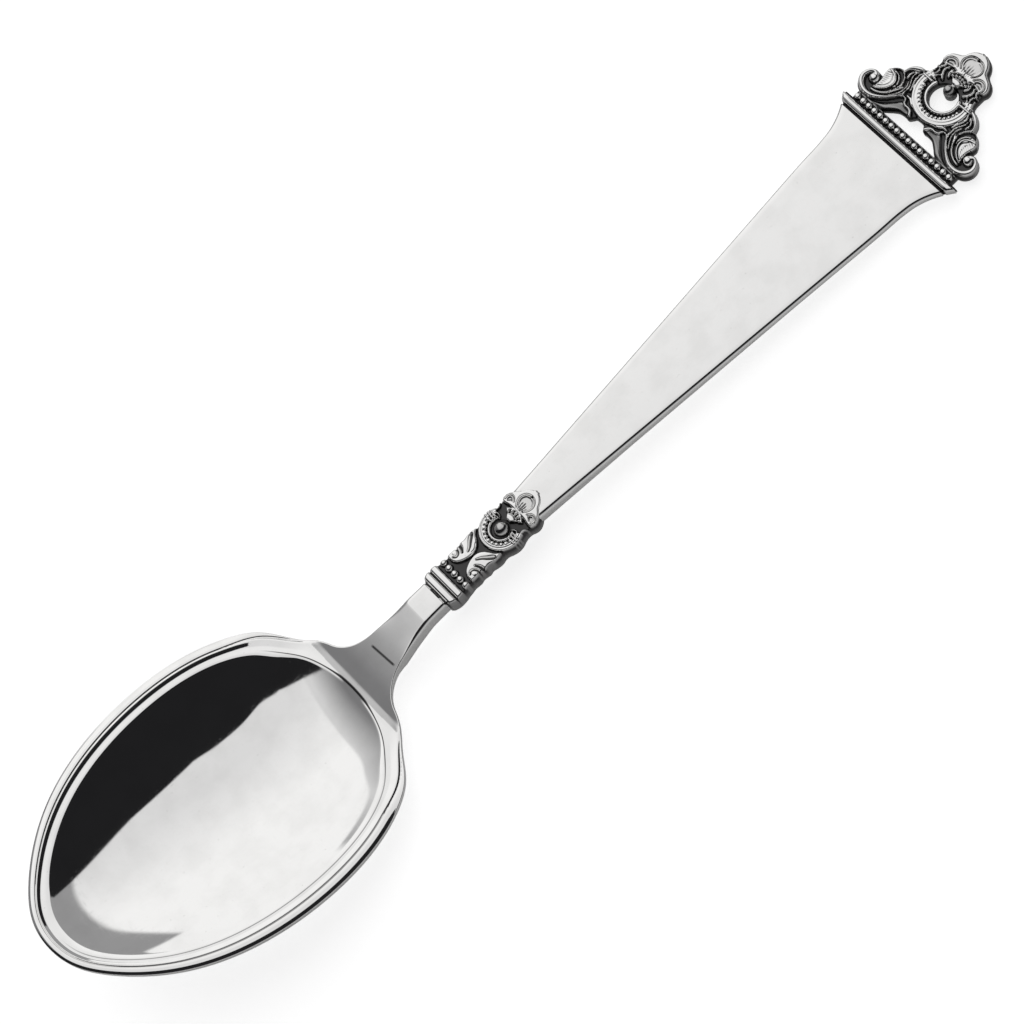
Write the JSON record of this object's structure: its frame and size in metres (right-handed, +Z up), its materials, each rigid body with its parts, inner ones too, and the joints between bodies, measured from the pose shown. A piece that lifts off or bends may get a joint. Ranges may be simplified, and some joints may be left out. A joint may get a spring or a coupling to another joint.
{
  "type": "dinner spoon",
  "caption": "Silver dinner spoon: egg-shaped bowl with a threaded border, scroll collar, flat tapered handle and a pierced crest with palmette.",
  "frame": {"origin": "under the middle of the spoon, on the surface that it lies on", "axes": "+X along the spoon from the tip of the bowl to the top of the handle, +Y across it, +Z up out of the hollow"},
  "size_m": [0.1898, 0.0456, 0.0154],
  "materials": {
    "silver": "polished silver with darkened recesses"
  },
  "bodies": {
    "root": {"spoon": "silver"}
  },
  "joints": []
}
